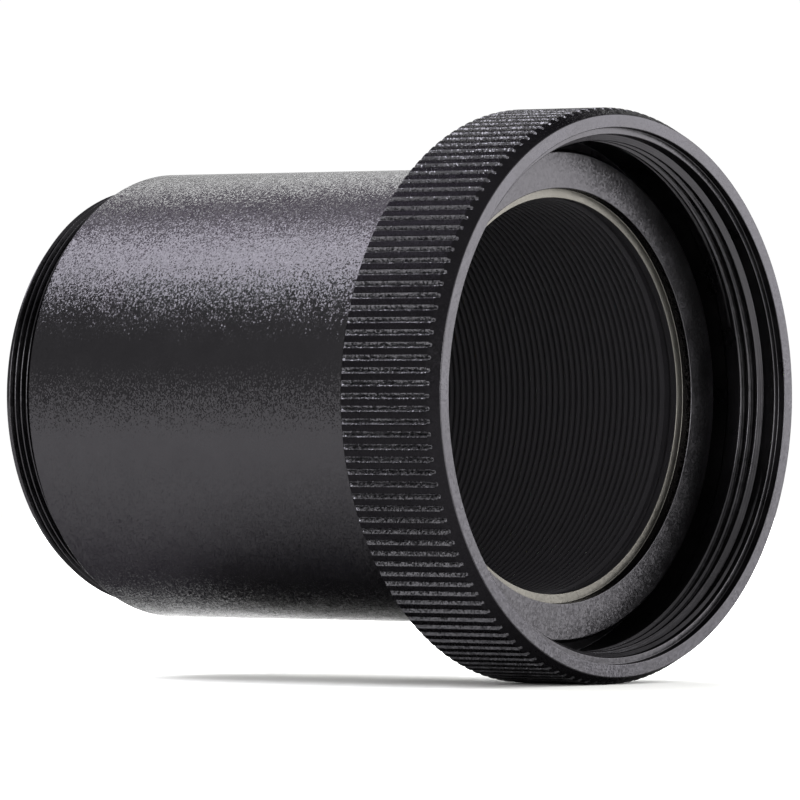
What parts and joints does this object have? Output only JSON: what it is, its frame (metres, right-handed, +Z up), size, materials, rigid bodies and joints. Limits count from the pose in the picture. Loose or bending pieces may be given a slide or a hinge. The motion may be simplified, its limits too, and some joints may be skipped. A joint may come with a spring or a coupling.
{
  "type": "barlow lens",
  "caption": "Telescope barlow lens: knurled threaded coupling ring on a flanged barrel with a ridged bore, a negative doublet in a cell, and a camera thread behind.",
  "frame": {"origin": "on the optical axis, in the plane of the flange's seat face, at the mouth of the bore", "axes": "+X along the optical axis towards the telescope, -X towards the camera; +Z is up as the part lies on its side"},
  "size_m": [0.0619, 0.056, 0.056],
  "materials": {
    "barrel_anodise": "bead-blasted, black anodised; threads and bore as turned",
    "ring_anodise": "turned and knurled, satin black anodised",
    "cell_anodise": "matt black anodised",
    "white_acetal": "turned",
    "black_nylon": "die cut",
    "crown_glass": "polished, coated",
    "flint_glass": "polished, coated"
  },
  "bodies": {
    "barrel": {"barrel": "barrel_anodise", "lens_cell": "cell_anodise", "glare_stop": "cell_anodise", "cell_lock_ring": "cell_anodise", "lens_retainer": "cell_anodise", "retainer_gasket": "black_nylon", "crown_element": "crown_glass", "flint_element": "flint_glass"},
    "slip_washer": {"slip_washer": "white_acetal"},
    "coupling_ring": {"coupling_ring": "ring_anodise"}
  },
  "joints": [
    {"name": "ring_slide", "type": "slide", "parent": "barrel", "child": "slip_washer", "axis": [1, 0, 0], "range_m": [-0.043, 0]},
    {"name": "ring_spin", "type": "hinge", "parent": "slip_washer", "child": "coupling_ring", "pos_m": [0, 0, 0], "axis": [1, 0, 0], "continuous": true}
  ]
}
